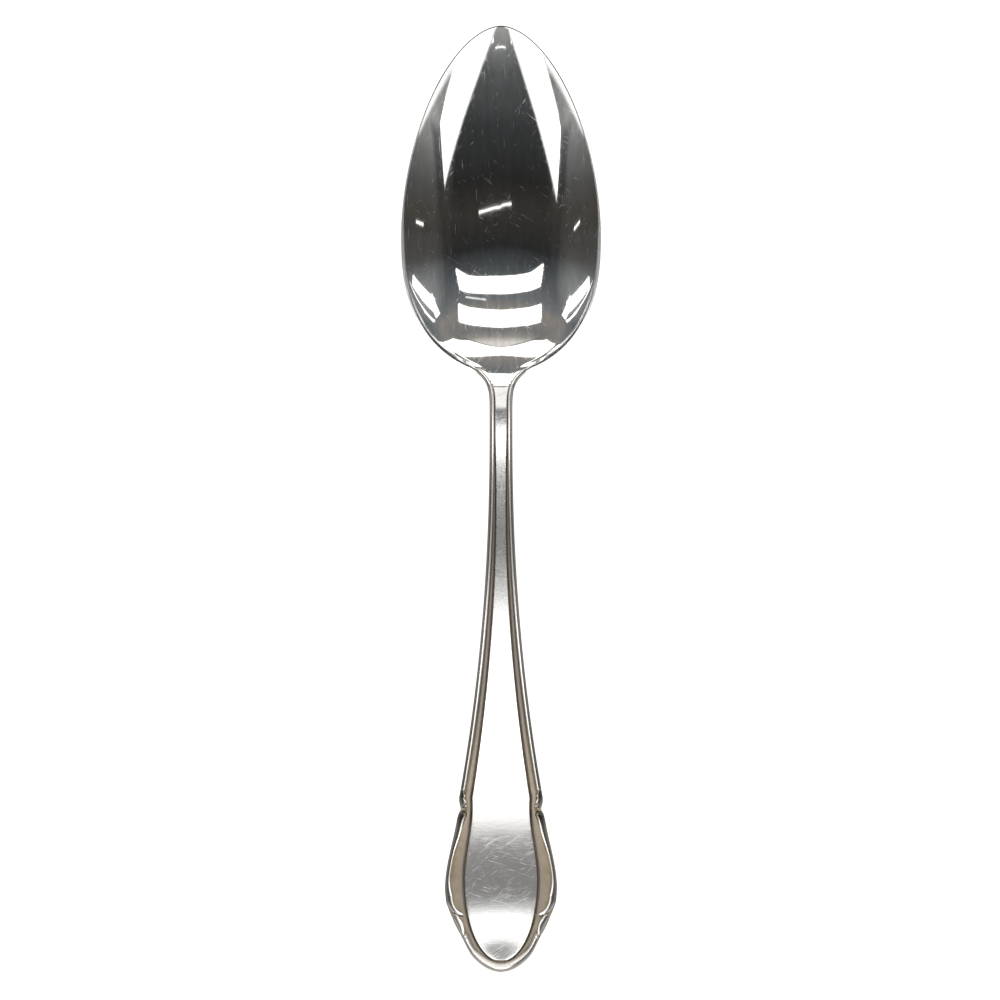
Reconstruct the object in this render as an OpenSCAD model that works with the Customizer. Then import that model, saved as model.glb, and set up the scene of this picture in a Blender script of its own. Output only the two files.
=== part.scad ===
// Dessert spoon with a thread-and-scroll border round its handle.
// X runs across the spoon, +Y towards the tip of the bowl, +Z up, with the bowl open upwards.
// The origin is on the table, under the middle of the spoon's length.

/* [Bowl] */
// Greatest width of the bowl
bowl_w = 38; // [32:0.5:46]
// Length from the widest place to the tip
bowl_front_l = 39.7; // [34:0.1:48]
// Length from the widest place to where the heel curve closes
bowl_back_l = 26.5; // [22:0.1:32]
// Height of the rim at the tip
rim_tip_h = 9; // [7:0.1:12]
// Height of the rim at the widest place
rim_mid_h = 8.6; // [7:0.1:12]
// Wall at the bottom of the bowl
floor_t = 1.2; // [0.8:0.05:1.6]
// Upright thickness of the wall at the rim
rim_t = 1; // [0.7:0.05:1.4]
// Width of the flat band along the rim
rim_band = 0.85; // [0.5:0.05:1.4]
// Chamfer on the outside of the rim
rim_chamfer = 0.2; // [0.1:0.05:0.35]
// Length from the closed heel up to where the neck flare meets the bowl
root_l = 1.2; // [0.8:0.1:2]
// Width of the lip between the hollow and the heel
lip_l = 4.6; // [3.5:0.1:5.5]
// Height of the lip
lip_h = 1.3; // [0.8:0.1:1.8]

/* [Neck and stem] */
// Length from the closed heel down to the solder line
neck_l = 2.3; // [1.5:0.1:4]
// Length of the stem, from the solder line to the shoulder scrolls
stem_l = 78.5; // [65:0.5:95]
// Narrowest width of the stem
stem_w = 4.34; // [3.8:0.02:6]
// Length of the flare from the stem into the bowl
flare_l = 9.5; // [8:0.1:12]
// Length from the solder line to where the stem starts to widen
narrow_l = 8.3; // [6:0.1:14]
// Height of the ledge at the solder line
neck_h = 9.4; // [8.6:0.1:11]
// Height of the ledge at the top of the arch
arch_h = 12.9; // [12:0.1:16]
// Length from the solder line to the top of the arch
arch_l = 21.5; // [18:0.5:28]
// Rise of the neck for each millimetre at the solder line
neck_slope = 0.45; // [0.3:0.01:0.5]
// Rise of the bowl's root for each millimetre at the solder line
root_slope = 0.2; // [0.1:0.01:0.4]
// Thickness under the ledge at the neck
neck_t = 2.4; // [1.8:0.1:3]
// Thickness under the ledge at the top of the arch
stem_t = 2; // [1.6:0.1:2.6]

/* [Handle end] */
// Width at the shoulder scrolls
shoulder_w = 16; // [13:0.1:18]
// Length from the shoulder scrolls to the widest place of the lobes
lobe_l = 17.4; // [14:0.1:22]
// Width across the lobes
lobe_w = 21.4; // [18.5:0.1:25]
// Length from the widest place of the lobes to the blunt point
end_l = 15.6; // [14:0.1:19]
// Length over which the lobes turn into the straight taper
lobe_turn_l = 5.4; // [4.5:0.1:6.5]
// Narrowing on each side for each millimetre of the taper
end_taper = 0.495; // [0.42:0.005:0.6]
// Radius of the nose at the blunt point
nose_r = 5.3; // [4:0.1:6.5]
// Depth of the notch between stem thread and lobe thread
notch_d = 0.4; // [0.2:0.05:0.7]
// Length from the shoulder scrolls to the notch
notch_l = 2.2; // [1.8:0.1:3]
// Length from the shoulder scrolls to where the handle lies on the table
rest_l = 12.5; // [10:0.5:18]
// Lift of the blunt point above the lowest place
end_lift = 4; // [1:0.1:5]
// Thickness under the ledge at the handle end
end_t = 1.3; // [1:0.05:1.8]

/* [Panel and threads] */
// Height of the panel above the ledge
panel_h = 0.5; // [0.3:0.05:0.8]
// Height of the panel where it starts at the solder line
panel_start_h = 0.15; // [0.1:0.05:0.3]
// Length over which the panel gains its height
panel_ramp_l = 5; // [3:0.5:10]
// Gap between thread and panel on the stem
groove_w = 0.14; // [0.1:0.02:0.3]
// Width of the channel at the shoulder scrolls
shoulder_channel_w = 1.35; // [0.8:0.05:2]
// Width of the channel at the lobes
lobe_channel_w = 2.65; // [1.8:0.05:3.5]
// Bare length between the panel and the blunt point
panel_end_gap = 2.1; // [1.8:0.05:3]
// Width of a border thread
thread_w = 0.95; // [0.7:0.05:1.2]
// Height of a border thread
thread_h = 0.6; // [0.4:0.05:0.9]
// Width of the knobs that the threads end in
knob_w = 1.5; // [1.2:0.05:1.8]
// Height of the knobs
knob_h = 0.85; // [0.6:0.05:1.1]
// Length from the widest place of the lobes to the start of the hooks
hook_drop = 1.6; // [1:0.1:2]
// Length of the hooks of the lobe threads
hook_l = 3.4; // [2.8:0.1:4]
// Clearance between the tip of a hook and the panel
hook_gap = 0.35; // [0.2:0.05:0.6]
// Length of a leaf scroll along the edge
leaf_l = 2.9; // [2.2:0.1:3.2]
// Width of a leaf scroll
leaf_w = 1.4; // [0.9:0.05:1.5]
// Clearance along the edge between hook, leaf and end thread
scroll_gap = 0.25; // [0.15:0.05:0.5]
// Solder film between the pieces
solder_gap = 0.05; // [0.03:0.01:0.1]

/* [Hidden] */
silver = "#c8c8c6";
bright_silver = "#d6d6d4";

// Exponents of the curves: tip, heel, hollow, drop, neck flare, widening of the stem, end of the panel
tip_curve = [1.8, 0.56];
heel_curve = [2.6, 0.55];
hollow_power = 2.2;
drop_power = 6;
flare_power = 4.5;
widen_power = 2.15;
panel_curve = [2.2, 0.5];

// Share of the heel's length over which the lip gains its width
lip_grow_share = 0.55;

// Shape of the back: share of the width that is flat, share of the thickness that stands upright
back_flat = 0.6;
side_share = 0.45;

// Counts of stations along the curves
front_steps = 14;
back_steps = 13;
flare_steps = 5;
hollow_rings = 11;
back_rings = 9;
bead_step = 30;
knob_steps = 4;

// Places along the spoon, from the tip to the blunt point
spoon_l = bowl_front_l + bowl_back_l + neck_l + stem_l + lobe_l + end_l;
tip_y = spoon_l / 2;
wide_y = tip_y - bowl_front_l;
heel_y = wide_y - bowl_back_l;
root_y = heel_y + root_l;
joint_y = heel_y - neck_l;
flare_y = root_y - flare_l;
narrow_y = joint_y - narrow_l;
arch_y = joint_y - arch_l;
shoulder_y = joint_y - stem_l;
notch_y = shoulder_y - notch_l;
lobe_y = shoulder_y - lobe_l;
taper_y = lobe_y - lobe_turn_l;
rest_y = shoulder_y - rest_l;
end_y = lobe_y - end_l;
panel_end_y = end_y + panel_end_gap;

function clamp01(t) = min(max(t, 0), 1);
function ease(t) = let (u = clamp01(t)) u * u * (3 - 2 * u);
function mix(a, b, t) = a + (b - a) * t;

// Cubic through two heights, with the slope at each end
function cubic(y, ya, yb, za, zb, ma, mb) =
    let (l = yb - ya, t = (y - ya) / l)
    za * (2 * t ^ 3 - 3 * t ^ 2 + 1) + zb * (3 * t ^ 2 - 2 * t ^ 3)
        + ma * l * (t ^ 3 - 2 * t ^ 2 + t) + mb * l * (t ^ 3 - t ^ 2);

// Half of the bowl's width: an egg that is pointed at the tip and square-shouldered at the heel
function egg(u, curve) = (1 - clamp01(u) ^ curve[0]) ^ curve[1];
function bowl_hw(y) = bowl_w / 2 * (y > wide_y ? egg((y - wide_y) / bowl_front_l, tip_curve)
    : egg((wide_y - y) / bowl_back_l, heel_curve));

// Half of the handle's width without its notch: flared neck, widening stem, lobes and taper
function flare_hw(y) = (bowl_hw(root_y) - stem_w / 2) * clamp01((y - flare_y) / flare_l) ^ flare_power;
function stem_hw(y) = stem_w / 2 + flare_hw(y)
    + (shoulder_w - stem_w) / 2 * clamp01((narrow_y - y) / (narrow_y - shoulder_y)) ^ widen_power;
function lobe_hw(y) = mix(shoulder_w, lobe_w, ease((shoulder_y - y) / lobe_l)) / 2;
function taper_hw(y) = lobe_w / 2 - (y > taper_y ? (lobe_y - y) ^ 2 * end_taper / (2 * lobe_turn_l)
    : end_taper * (lobe_turn_l / 2 + taper_y - y));
function nose_hw(y) = sqrt(max(2 * nose_r * (y - end_y), 0));
function body_hw(y) = y > shoulder_y ? stem_hw(y) : y > lobe_y ? lobe_hw(y)
    : min(taper_hw(y), nose_hw(y));
function outline_hw(y) = body_hw(y) - notch_d * exp(-((y - notch_y) ^ 2));

// Edge of the handle's end for a place across it, where the outline runs more across than along
function nose_y(x) = max(end_y + x ^ 2 / (2 * nose_r),
    taper_y - (taper_hw(taper_y) - abs(x)) / end_taper);

// Height of the rim, which runs on as the ledge that carries the threads
tip_slope = 0.03;
mid_slope = 0.01;
lift_bend = 2.3;
lift_slope = -lift_bend * end_lift / (rest_y - end_y);
function ledge_z(y) =
    y > wide_y ? cubic(y, wide_y, tip_y, rim_mid_h, rim_tip_h, mid_slope, tip_slope)
    : y > joint_y ? cubic(y, joint_y, wide_y, neck_h, rim_mid_h, -root_slope, mid_slope)
    : y > arch_y ? cubic(y, arch_y, joint_y, arch_h, neck_h, 0, -neck_slope)
    : y > rest_y ? cubic(y, rest_y, arch_y, end_t, arch_h, 0, 0)
    : cubic(y, end_y, rest_y, end_t + end_lift, end_t, lift_slope, 0);

// Thickness of the handle under its ledge
function handle_t(y) = y > arch_y ? mix(neck_t, stem_t, ease((joint_y - y) / arch_l))
    : mix(stem_t, end_t, ease((arch_y - y) / (arch_y - shoulder_y)));

// Half of the panel's width: the handle less its thread and channel, then a rounded point
panel_wide_y = lobe_y + panel_end_gap;
function channel_w(y) = y > shoulder_y
    ? mix(groove_w, shoulder_channel_w, clamp01((narrow_y - y) / (narrow_y - shoulder_y)))
    : mix(shoulder_channel_w, lobe_channel_w, clamp01((shoulder_y - y) / lobe_l));
function panel_side_hw(y) = body_hw(y) - thread_w - channel_w(y);
function panel_hw(y) = y > panel_wide_y ? panel_side_hw(y)
    : panel_side_hw(panel_wide_y) * egg((panel_wide_y - y) / (panel_wide_y - panel_end_y), panel_curve);

// Skin over rings that run clockwise as seen along the way from the first ring to the last
function skin_faces(rings, size) = [
    for (r = [0 : rings - 2])
        for (k = [0 : size - 1])
            let (a = r * size + k, b = r * size + (k + 1) % size)
            each [[a, a + size, b + size], [a, b + size, b]]
];
function cap_faces(rings, size) = [
    [for (k = [0 : size - 1]) k],
    [for (k = [size - 1 : -1 : 0]) (rings - 1) * size + k]
];
module loft(rings) {
    size = len(rings[0]);
    polyhedron([for (ring = rings) each ring],
        concat(skin_faces(len(rings), size), cap_faces(len(rings), size)), convexity = 10);
}

// Half-round bead along a path of [x, y, width, height], seated on the ledge
function bead_side(path, i) =
    let (a = path[max(i - 1, 0)], b = path[min(i + 1, len(path) - 1)], d = [b[0] - a[0], b[1] - a[1]])
    [d[1], -d[0]] / norm(d);
function bead_ring(p, side) = [
    for (a = [180 : -bead_step : 0])
        let (x = p[0] + side[0] * cos(a) * p[2] / 2, y = p[1] + side[1] * cos(a) * p[2] / 2)
        [x, y, ledge_z(y) + solder_gap + p[3] * sin(a)]
];
module bead(path) {
    loft([for (i = [0 : len(path) - 1]) bead_ring(path[i], bead_side(path, i))]);
}

// Share of the full section near the round end of a bead, for a length s from that end
end_share = 0.06;
end_crowding = 1.5;
function round_end(s, l) = sqrt(max(1 - (1 - clamp01(s / l)) ^ 2, end_share));

// Bowl: rings from the bottom of the hollow out over the rim and back under it
front_places = [for (i = [0 : front_steps]) wide_y + bowl_front_l * cos(90 * i / front_steps)];
root_angle = asin((wide_y - root_y) / bowl_back_l);
back_places = [for (i = [1 : back_steps]) wide_y - bowl_back_l * sin(root_angle * i / back_steps)];
flare_places = [for (i = [1 : flare_steps]) mix(root_y, joint_y, i / flare_steps)];
side_places = concat(front_places, back_places, flare_places);

function rim_hw(y) = y < root_y ? body_hw(y) : bowl_hw(y);
right_rim = [for (y = side_places) [rim_hw(y), y]];
joint_edge = [for (k = [back_flat, 0, -back_flat]) [rim_hw(joint_y) * k, joint_y]];
left_rim = [for (i = [len(right_rim) - 1 : -1 : 1]) [-right_rim[i][0], right_rim[i][1]]];
rim = concat(right_rim, joint_edge, left_rim);

// Edge of the hollow: the rim drawn in by its band, and round the heel by the width of the lip
lip_grow_l = bowl_back_l * lip_grow_share;
function rim_inward(i) =
    let (n = len(rim), a = rim[(i + n - 1) % n], b = rim[(i + 1) % n], d = b - a)
    [d[1], -d[0]] / norm(d);
function lip_share(y) = ease((wide_y - y) / lip_grow_l);
function lip_point(i) = rim[i] + mix(rim_band, lip_l, lip_share(rim[i][1])) * rim_inward(i);
root_i = front_steps + back_steps;
function hollow_point(i) = rim[i][1] >= root_y ? lip_point(i)
    : let (t = flare_share(rim[i][1]), p = lip_point(root_i))
        [rim[i][0] / rim_hw(rim[i][1]) * mix(p[0], p[0] / 2, t), mix(p[1], heel_y + lip_l, t)];
hollow = [for (i = [0 : len(rim) - 1]) hollow_point(i)];

// Thickness added under the rim: the neck's back runs out as a low drop under the heel
function on_joint(i) = i >= len(right_rim) && i < len(right_rim) + len(joint_edge);
function flare_share(y) = clamp01((root_y - y) / (root_y - joint_y));
function drop_t(i) = on_joint(i) ? neck_t - rim_t : (side_share * neck_t - rim_t) * flare_share(rim[i][1]);

pole = [0, wide_y];
function hollow_ring(s) = [
    for (p = hollow)
        let (q = mix(pole, p, s))
        [q[0], q[1], mix(floor_t, ledge_z(p[1]) - lip_h * lip_share(p[1]), s ^ hollow_power)]
];
function chamfer(i) = rim_chamfer * (1 - flare_share(rim[i][1]));
top_rim_ring = [
    for (i = [0 : len(rim) - 1])
        let (q = rim[i] + chamfer(i) * rim_inward(i))
        [q[0], q[1], ledge_z(q[1])]
];
outer_rim_ring = [
    for (i = [0 : len(rim) - 1])
        [rim[i][0], rim[i][1], ledge_z(rim[i][1]) - chamfer(i) - solder_gap]
];
function under_ring(s) = [
    for (i = [0 : len(rim) - 1])
        let (q = mix(pole, rim[i], s))
        [q[0], q[1], (ledge_z(rim[i][1]) - rim_t) * s ^ hollow_power - drop_t(i) * s ^ drop_power]
];

module bowl() {
    rings = concat([for (k = [1 : hollow_rings]) hollow_ring(k / hollow_rings)],
        [top_rim_ring, outer_rim_ring],
        [for (k = [back_rings : -1 : 1]) under_ring(k / back_rings)]);
    size = len(rim);
    body = skin_faces(len(rings), size);
    top = len(rings) * size;
    last = (len(rings) - 1) * size;
    fans = [
        for (k = [0 : size - 1])
            each [[top, k, (k + 1) % size], [last + k, top + 1, last + (k + 1) % size]]
    ];
    points = concat([for (ring = rings) each ring], [[pole[0], pole[1], floor_t], [pole[0], pole[1], 0]]);
    color(silver) polyhedron(points, concat(body, fans), convexity = 10);
}

// Handle: sections along the stem, closer together round the notch and the blunt point
stem_steps = 26;
notch_steps = 10;
lobe_steps = 7;
taper_steps = 6;
nose_steps = 9;
blunt = 0.03;
handle_top_y = joint_y - solder_gap;
nose_l = 3.5;
notch_reach = 2.4;
nose_top_y = end_y + nose_l;
notch_bottom_y = notch_y - notch_reach;
notch_top_y = notch_y + notch_reach;
handle_places = concat(
    [for (i = [0 : stem_steps - 1]) mix(handle_top_y, notch_top_y, i / stem_steps)],
    [for (i = [0 : notch_steps - 1]) mix(notch_top_y, notch_bottom_y, i / notch_steps)],
    [for (i = [0 : lobe_steps - 1]) mix(notch_bottom_y, lobe_y, i / lobe_steps)],
    [for (i = [0 : taper_steps - 1]) mix(lobe_y, nose_top_y, i / taper_steps)],
    [for (i = [0 : nose_steps]) end_y + nose_l * max(1 - i / nose_steps, blunt) ^ 2]);

// The panel's sloped wall, and the low crown past its point
panel_wall = 0.12;
crown_share = 0.2;
crown_h = 0.02;
foot_share = 0.9;
function panel_rise(y) = mix(panel_start_h, panel_h, ease((joint_y - y) / panel_ramp_l));
function handle_section(y) =
    let (
        w = outline_hw(y),
        z = ledge_z(y),
        t = handle_t(y),
        inside = y > panel_end_y + crown_h,
        p = inside ? panel_hw(y) : w * crown_share,
        h = inside ? panel_rise(y) : crown_h,
        foot = min(p + panel_wall, w * foot_share),
        right = [[body_hw(y) * back_flat, z - t], [w, z - t * side_share], [w, z], [foot, z], [p, z + h]],
        left = [for (i = [len(right) - 1 : -1 : 0]) [-right[i][0], right[i][1]]]
    )
    [for (q = concat(right, left)) [q[0], y, q[1]]];

module handle() {
    color(silver) loft([for (y = handle_places) handle_section(y)]);
}

// Stem thread: from the root of the neck along the edge, ending in a small scroll at the shoulder
thread_steps = 44;
thread_top_y = root_y - thread_w / 4;
thread_end_y = notch_y + scroll_gap;
scroll_l = 2.5;
function scroll_grow(y) = ease((thread_end_y + 2 * scroll_l - y) / scroll_l);
function stem_thread_point(y) =
    let (
        s = min(thread_top_y - y, y - thread_end_y),
        end = round_end(s, thread_w),
        w = mix(thread_w, knob_w, scroll_grow(y)) * end,
        h = mix(thread_h, knob_h, scroll_grow(y)) * end
    )
    [outline_hw(y) - mix(thread_w, knob_w, scroll_grow(y)) / 2, y, w, h];
stem_thread_places = concat(
    [thread_top_y, thread_top_y - thread_w / 4],
    [for (i = [0 : thread_steps]) mix(thread_top_y - thread_w, thread_end_y + knob_w, i / thread_steps)],
    [for (i = [1 : knob_steps]) thread_end_y + knob_w * (1 - i / knob_steps) ^ end_crowding]);

module stem_thread_right() {
    color(bright_silver) bead([for (y = stem_thread_places) stem_thread_point(y)]);
}
module stem_thread_left() {
    mirror([1, 0, 0]) stem_thread_right();
}

// Lobe thread: a knob below the notch, the edge of the lobe, and a hook that turns in to the panel
lobe_thread_steps = 16;
hook_steps = 8;
hook_end_angle = 30;
knob_y = notch_y - scroll_gap;
hook_y = lobe_y - hook_drop;
hook_tip_x = panel_hw(hook_y - hook_l) + hook_gap + panel_wall;
hook_start_x = outline_hw(hook_y) - thread_w / 2;
function lobe_point(y) =
    let (
        s = knob_y - y,
        k = 1 - ease(s / (2 * knob_w)),
        end = round_end(s, knob_w / 2),
        w = mix(thread_w, knob_w, k)
    )
    [outline_hw(y) - w / 2, y, w * end, mix(thread_h, knob_h, k) * end];
function hook_point(a) =
    let (end = round_end(90 - a, hook_end_angle))
    [mix(hook_tip_x, hook_start_x, cos(a)), hook_y - hook_l * sin(a), thread_w * end, thread_h * end];
lobe_places = concat(
    [for (i = [0 : knob_steps - 1]) knob_y - knob_w / 2 * (i / knob_steps) ^ end_crowding],
    [for (i = [0 : lobe_thread_steps - 1]) mix(knob_y - knob_w / 2, hook_y, i / lobe_thread_steps)]);
lobe_thread_path = concat(
    [for (y = lobe_places) lobe_point(y)],
    [for (i = [0 : hook_steps]) hook_point(90 * i / hook_steps)]);

module lobe_thread_right() {
    color(bright_silver) bead(lobe_thread_path);
}
module lobe_thread_left() {
    mirror([1, 0, 0]) lobe_thread_right();
}

// Leaf scroll: a bead that swells and tapers along the edge below the hook
leaf_steps = 10;
leaf_tip_w = 0.3;
leaf_top_y = hook_y - hook_l - thread_w / 2 - scroll_gap;
function leaf_point(t) =
    let (y = leaf_top_y - leaf_l * t, w = mix(leaf_tip_w, leaf_w, sin(180 * t)))
    [outline_hw(y) - leaf_w / 2, y, w, knob_h * w / leaf_w];

module leaf_scroll_right() {
    color(bright_silver) bead([for (i = [0 : leaf_steps]) leaf_point(i / leaf_steps)]);
}
module leaf_scroll_left() {
    mirror([1, 0, 0]) leaf_scroll_right();
}

// End thread: round the blunt point from knob to knob
end_steps = 30;
end_knob_y = leaf_top_y - leaf_l - scroll_gap;
end_knob_x = outline_hw(end_knob_y);
slope_step = 0.01;
function end_point(t) =
    let (
        x = end_knob_x * cos(180 * t),
        slope = (nose_y(x + slope_step) - nose_y(x - slope_step)) / (2 * slope_step),
        inward = [-slope, 1] / norm([slope, 1]),
        s = nose_y(end_knob_x) - nose_y(x),
        k = 1 - ease(s / (2 * knob_w)),
        end = round_end(s, knob_w / 2),
        w = mix(thread_w, knob_w, k)
    )
    [x + inward[0] * w / 2, nose_y(x) + inward[1] * w / 2, w * end, mix(thread_h, knob_h, k) * end];

module end_thread() {
    color(bright_silver) bead([for (i = [0 : end_steps]) end_point(i / end_steps)]);
}

bowl();
handle();
stem_thread_left();
stem_thread_right();
lobe_thread_left();
lobe_thread_right();
leaf_scroll_left();
leaf_scroll_right();
end_thread();
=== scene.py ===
# %% [markdown]
# # A silver dessert spoon
# The real spoon is struck from one strip of silver: a deep egg-shaped bowl, a neck, a stem that
# arches and widens, and a fiddle-shaped end with a border of threads and small scrolls.
# Silver has hardly any colour of its own, so this lesson spends its effort on two things: smooth
# surfaces with the right slopes, and lights for those surfaces to reflect.

import bpy
import numpy as np
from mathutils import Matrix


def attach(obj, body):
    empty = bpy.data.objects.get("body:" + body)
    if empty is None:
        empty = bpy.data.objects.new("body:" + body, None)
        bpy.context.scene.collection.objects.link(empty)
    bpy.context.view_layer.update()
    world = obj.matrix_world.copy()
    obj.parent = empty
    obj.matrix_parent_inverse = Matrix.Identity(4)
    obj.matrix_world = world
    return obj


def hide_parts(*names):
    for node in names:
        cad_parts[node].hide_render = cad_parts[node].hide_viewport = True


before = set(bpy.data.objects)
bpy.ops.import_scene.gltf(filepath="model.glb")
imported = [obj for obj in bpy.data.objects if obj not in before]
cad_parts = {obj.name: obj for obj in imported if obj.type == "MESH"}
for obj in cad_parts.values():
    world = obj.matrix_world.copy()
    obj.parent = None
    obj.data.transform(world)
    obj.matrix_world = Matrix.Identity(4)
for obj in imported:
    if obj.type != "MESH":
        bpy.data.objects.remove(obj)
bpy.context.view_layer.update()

# %% [markdown]
# ## Sizes and places
# The sizes are the same named sizes as in the part's source, in millimetres. A place along the
# spoon is a Y value: the tip of the bowl is at +90, the blunt point of the handle at -90.

# %% Sizes of the spoon
bowl_w, bowl_front_l, bowl_back_l = 38.0, 39.7, 26.5
rim_tip_h, rim_mid_h, floor_t, rim_t, rim_band = 9.0, 8.6, 1.2, 1.0, 0.85
neck_h, arch_h, neck_slope, root_slope = 9.4, 12.9, 0.45, 0.2
neck_t, stem_t, end_t, end_lift = 2.4, 2.0, 1.3, 4.0
stem_w, shoulder_w, lobe_w = 4.34, 16.0, 21.4
lobe_turn_l, end_taper, nose_r, notch_d = 5.4, 0.495, 5.3, 0.4
flare_l, narrow_l, arch_l, rest_l = 9.5, 8.3, 21.5, 12.5
panel_h, panel_start_h, panel_ramp_l = 0.5, 0.04, 5.0
thread_w, knob_w = 0.95, 1.5

tip_y = 90.0
wide_y = tip_y - bowl_front_l
heel_y = wide_y - bowl_back_l
root_y = heel_y + 1.2
joint_y = heel_y - 2.3
flare_y = root_y - flare_l
narrow_y = joint_y - narrow_l
arch_y = joint_y - arch_l
shoulder_y = joint_y - 78.5
notch_y = shoulder_y - 2.2
lobe_y = shoulder_y - 17.4
taper_y = lobe_y - lobe_turn_l
rest_y = shoulder_y - rest_l
end_y = lobe_y - 15.6
panel_end_y = end_y + 1.9
panel_wide_y = lobe_y + 2.1
print("widest place of the bowl", wide_y, "solder line", joint_y, "blunt point", end_y)

# %% [markdown]
# ## Curves that the whole spoon shares
# Two short curves do most of the work: an ease from 0 to 1, and a cubic through two heights with a
# slope at each end. A mirror finish shows every kink, so neighbouring cubics share their slopes.

# %% Shared curves
def clamp01(t):
    return np.clip(t, 0.0, 1.0)


def ease(t):
    u = clamp01(t)
    return u * u * (3 - 2 * u)


def mix(a, b, t):
    return a + (b - a) * t


def cubic(y, ya, yb, za, zb, ma, mb):
    l = yb - ya
    t = (y - ya) / l
    return (za * (2 * t**3 - 3 * t**2 + 1) + zb * (3 * t**2 - 2 * t**3)
            + ma * l * (t**3 - 2 * t**2 + t) + mb * l * (t**3 - t**2))


def egg(u, p, q):
    return (1 - clamp01(u) ** p) ** q


def bowl_hw(y):
    front = egg((y - wide_y) / bowl_front_l, 1.8, 0.56)
    back = egg((wide_y - y) / bowl_back_l, 2.6, 0.55)
    return bowl_w / 2 * np.where(y > wide_y, front, back)


def ledge_z(y):
    y = np.asarray(y, float)
    lift_slope = -2.3 * end_lift / (rest_y - end_y)
    return np.select(
        [y > wide_y, y > joint_y, y > arch_y, y > rest_y],
        [cubic(y, wide_y, tip_y, rim_mid_h, rim_tip_h, 0.01, 0.03),
         cubic(y, joint_y, wide_y, neck_h, rim_mid_h, -root_slope, 0.01),
         cubic(y, arch_y, joint_y, arch_h, neck_h, 0, -neck_slope),
         cubic(y, rest_y, arch_y, end_t, arch_h, 0, 0)],
        cubic(y, end_y, rest_y, end_t + end_lift, end_t, lift_slope, 0))


print("ledge height at the arch", float(ledge_z(arch_y)), "at the blunt point", float(ledge_z(end_y)))

# %% [markdown]
# ## Outline of the handle
# Seen from above, the handle is a flared neck, a stem that widens slowly, two lobes with a small
# notch above them, and a taper that closes in a round nose. The real outline is cut by a die. Here
# each stretch is a short formula for the half width, which the panel and the threads share. Where
# the taper meets the nose, the smaller of the two is taken with a rounded corner.

# %% Half widths of the handle
flare_power, widen_power = 4.5, 2.15
taper_corner_r, nose_corner_r = 0.15, 0.25


def stem_hw(y):
    flare = (bowl_hw(root_y) - stem_w / 2) * clamp01((y - flare_y) / flare_l) ** flare_power
    widen = clamp01((narrow_y - y) / (narrow_y - shoulder_y)) ** widen_power
    return stem_w / 2 + flare + (shoulder_w - stem_w) / 2 * widen


def taper_hw(y):
    turn = (lobe_y - y) ** 2 * end_taper / (2 * lobe_turn_l)
    straight = end_taper * (lobe_turn_l / 2 + taper_y - y)
    return lobe_w / 2 - np.where(y > taper_y, turn, straight)


def round_min(a, b, r):
    return np.maximum((a + b) / 2 - np.hypot((a - b) / 2, r), 0)


def body_hw(y):
    y = np.asarray(y, float)
    lobe = mix(shoulder_w, lobe_w, ease((shoulder_y - y) / (shoulder_y - lobe_y))) / 2
    nose = np.sqrt(np.maximum(2 * nose_r * (y - end_y), 0))
    point = round_min(taper_hw(y), nose, taper_corner_r)
    return np.select([y > shoulder_y, y > lobe_y], [stem_hw(y), lobe], point)


def outline_hw(y):
    return body_hw(y) - notch_d * np.exp(-((y - notch_y) ** 2))


def nose_edge_y(x):
    bow = x**2 / (2 * nose_r)
    straight = taper_y - (taper_hw(taper_y) - np.abs(x)) / end_taper - end_y
    return end_y + (bow + straight) / 2 + np.hypot((bow - straight) / 2, nose_corner_r)


print("half width at the lobes", float(body_hw(lobe_y)), "at the notch", float(outline_hw(notch_y)))

# %% Channel, panel and thickness of the handle
channel_start_w, channel_stem_w, channel_lobe_w = 0.14, 1.35, 2.65


def channel_w(y):
    stem = mix(channel_start_w, channel_stem_w, clamp01((narrow_y - y) / (narrow_y - shoulder_y)))
    lobe = mix(channel_stem_w, channel_lobe_w, clamp01((shoulder_y - y) / (shoulder_y - lobe_y)))
    return np.where(y > shoulder_y, stem, lobe)


def panel_hw(y):
    side = body_hw(y) - thread_w - channel_w(y)
    widest = body_hw(panel_wide_y) - thread_w - channel_w(panel_wide_y)
    point = widest * egg((panel_wide_y - y) / (panel_wide_y - panel_end_y), 2.2, 0.5)
    return np.where(y > panel_wide_y, side, point)


def handle_t(y):
    neck = mix(neck_t, stem_t, ease((joint_y - y) / (joint_y - arch_y)))
    end = mix(stem_t, end_t, ease((arch_y - y) / (arch_y - shoulder_y)))
    return np.where(y > arch_y, neck, end)


print("panel at the lobes", float(panel_hw(lobe_y)), "thickness", float(handle_t(lobe_y)))

# %% [markdown]
# ## Skin over rings
# Bowl and handle are both lofts: closed rings of equal point count, one after the other, with a
# fan or a cap at each end. A grid like this keeps the quads even, which a mirror finish needs, and
# each ring point can carry a value that a material reads later.

# %% Mesh helper
mm = 0.001


def outward(mesh):
    corners = np.array([mesh.vertices[i].co[:] for t in mesh.loop_triangles for i in t.vertices])
    a, b, c = corners.reshape(-1, 3, 3).transpose(1, 0, 2)
    if np.einsum("ij,ij->i", a, np.cross(b, c)).sum() < 0:
        mesh.flip_normals()


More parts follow.
